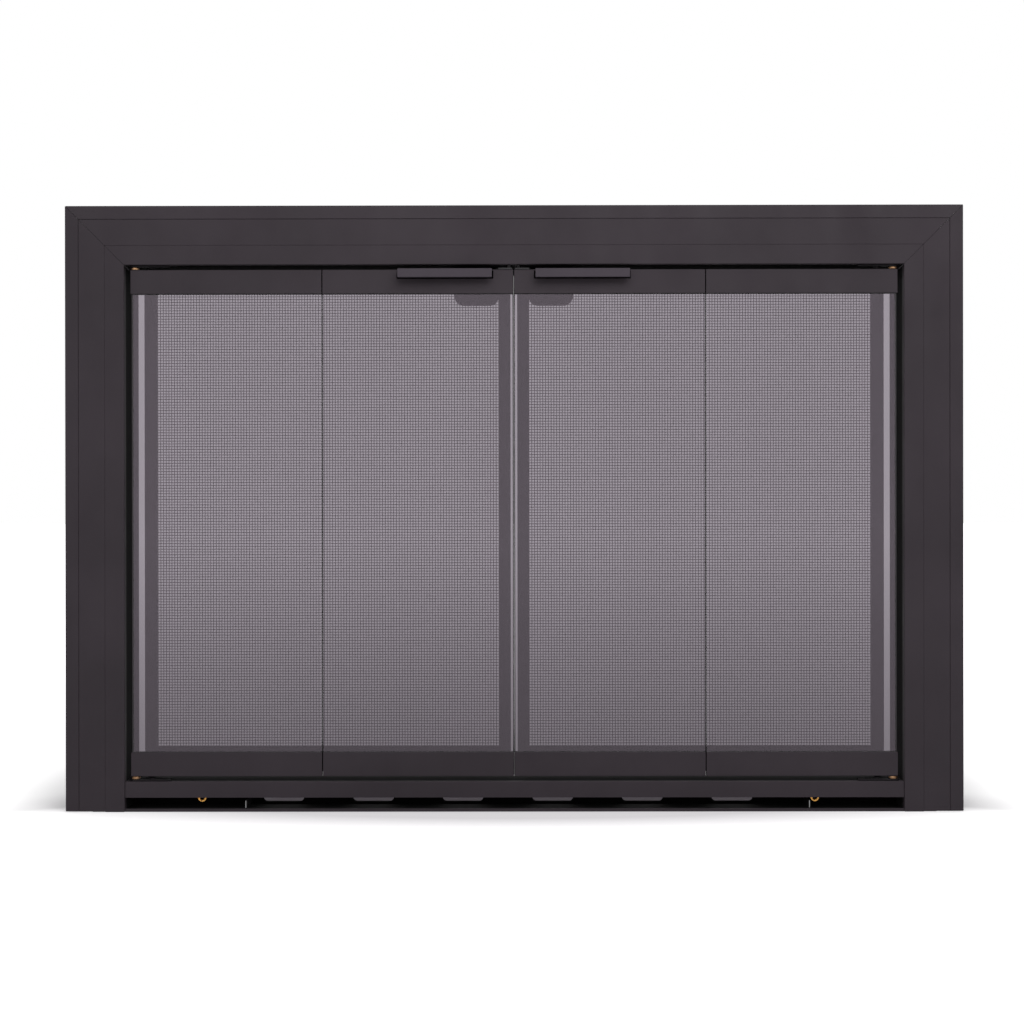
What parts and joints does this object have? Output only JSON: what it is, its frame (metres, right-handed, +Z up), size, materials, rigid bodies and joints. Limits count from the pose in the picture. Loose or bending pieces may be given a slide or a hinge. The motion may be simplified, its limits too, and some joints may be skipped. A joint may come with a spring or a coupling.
{
  "type": "fireplace glass door",
  "caption": "Black framed fireplace door: two bi-fold pairs of smoked glass leaves, mesh gates behind them and a sliding draft damper below.",
  "frame": {"origin": "middle of the bottom of the whole door, on the hearth", "axes": "+X to the viewer's right, +Y into the fireplace, +Z up; the face looks along -Y"},
  "size_m": [1.016, 0.1146, 0.686],
  "materials": {
    "frame_black": "satin black powder coat",
    "inner_black": "matt black paint",
    "mesh_black": "matt black paint on woven wire",
    "smoked_glass": "grey tempered glass",
    "brass": "plain brass",
    "zinc": "zinc plated",
    "shoe_grey": "moulded grey nylon"
  },
  "bodies": {
    "frame": {"left_casing": "frame_black", "right_casing": "frame_black", "head_casing": "frame_black", "left_jamb": "frame_black", "right_jamb": "frame_black", "head_jamb": "frame_black", "bottom_channel": "frame_black", "left_corner_key": "zinc", "right_corner_key": "zinc", "left_floor_bracket": "zinc", "right_floor_bracket": "zinc", "left_lintel_clamp": "zinc", "right_lintel_clamp": "zinc", "left_top_pivot": "inner_black", "right_top_pivot": "inner_black", "left_bottom_pivot": "inner_black", "right_bottom_pivot": "inner_black", "left_damper_stop": "brass", "right_damper_stop": "brass", "damper_guide": "inner_black", "left_catch_plate": "inner_black", "right_catch_plate": "inner_black"},
    "left_outer_leaf": {"left_outer_top_rail": "frame_black", "left_outer_bottom_rail": "frame_black", "left_outer_glass": "smoked_glass", "left_top_bush": "brass", "left_bottom_bush": "brass", "left_upper_hinge_outer": "inner_black", "left_lower_hinge_outer": "inner_black"},
    "right_outer_leaf": {"right_outer_top_rail": "frame_black", "right_outer_bottom_rail": "frame_black", "right_outer_glass": "smoked_glass", "right_top_bush": "brass", "right_bottom_bush": "brass", "right_upper_hinge_outer": "inner_black", "right_lower_hinge_outer": "inner_black"},
    "left_inner_leaf": {"left_inner_top_rail": "frame_black", "left_inner_bottom_rail": "frame_black", "left_inner_glass": "smoked_glass", "left_handle": "frame_black", "left_guide_shoe": "shoe_grey", "left_upper_hinge_inner": "inner_black", "left_lower_hinge_inner": "inner_black", "left_upper_hinge_pin": "zinc", "left_lower_hinge_pin": "zinc"},
    "right_inner_leaf": {"right_inner_top_rail": "frame_black", "right_inner_bottom_rail": "frame_black", "right_inner_glass": "smoked_glass", "right_handle": "frame_black", "right_guide_shoe": "shoe_grey", "right_upper_hinge_inner": "inner_black", "right_lower_hinge_inner": "inner_black", "right_upper_hinge_pin": "zinc", "right_lower_hinge_pin": "zinc"},
    "left_mesh_gate": {"left_gate_frame": "mesh_black", "left_gate_net": "mesh_black"},
    "right_mesh_gate": {"right_gate_frame": "mesh_black", "right_gate_net": "mesh_black"},
    "damper": {"damper_slider": "inner_black"}
  },
  "joints": [
    {"name": "left_door_pivot", "type": "hinge", "parent": "frame", "child": "left_outer_leaf", "pos_m": [-0.43, -0.03975, 0.3], "axis": [0, 0, -1], "range_deg": [0, 85]},
    {"name": "left_door_fold", "type": "hinge", "parent": "left_outer_leaf", "child": "left_inner_leaf", "pos_m": [-0.2175, -0.03275, 0.3], "axis": [0, 0, 1], "range_deg": [0, 170]},
    {"name": "right_door_pivot", "type": "hinge", "parent": "frame", "child": "right_outer_leaf", "pos_m": [0.43, -0.03975, 0.3], "axis": [0, 0, 1], "range_deg": [0, 85]},
    {"name": "right_door_fold", "type": "hinge", "parent": "right_outer_leaf", "child": "right_inner_leaf", "pos_m": [0.2175, -0.03275, 0.3], "axis": [0, 0, -1], "range_deg": [0, 170]},
    {"name": "left_gate_pivot", "type": "hinge", "parent": "frame", "child": "left_mesh_gate", "pos_m": [-0.4185, -0.00875, 0.3], "axis": [0, 0, 1], "range_deg": [0, 80]},
    {"name": "right_gate_pivot", "type": "hinge", "parent": "frame", "child": "right_mesh_gate", "pos_m": [0.4185, -0.00875, 0.3], "axis": [0, 0, -1], "range_deg": [0, 80]},
    {"name": "damper_slide", "type": "slide", "parent": "frame", "child": "damper", "axis": [1, 0, 0], "range_m": [-0.05, 0.006]}
  ],
  "couplings": [
    {"joint": "left_door_fold", "follows": "left_door_pivot", "ratio": 2},
    {"joint": "right_door_fold", "follows": "right_door_pivot", "ratio": 2}
  ]
}
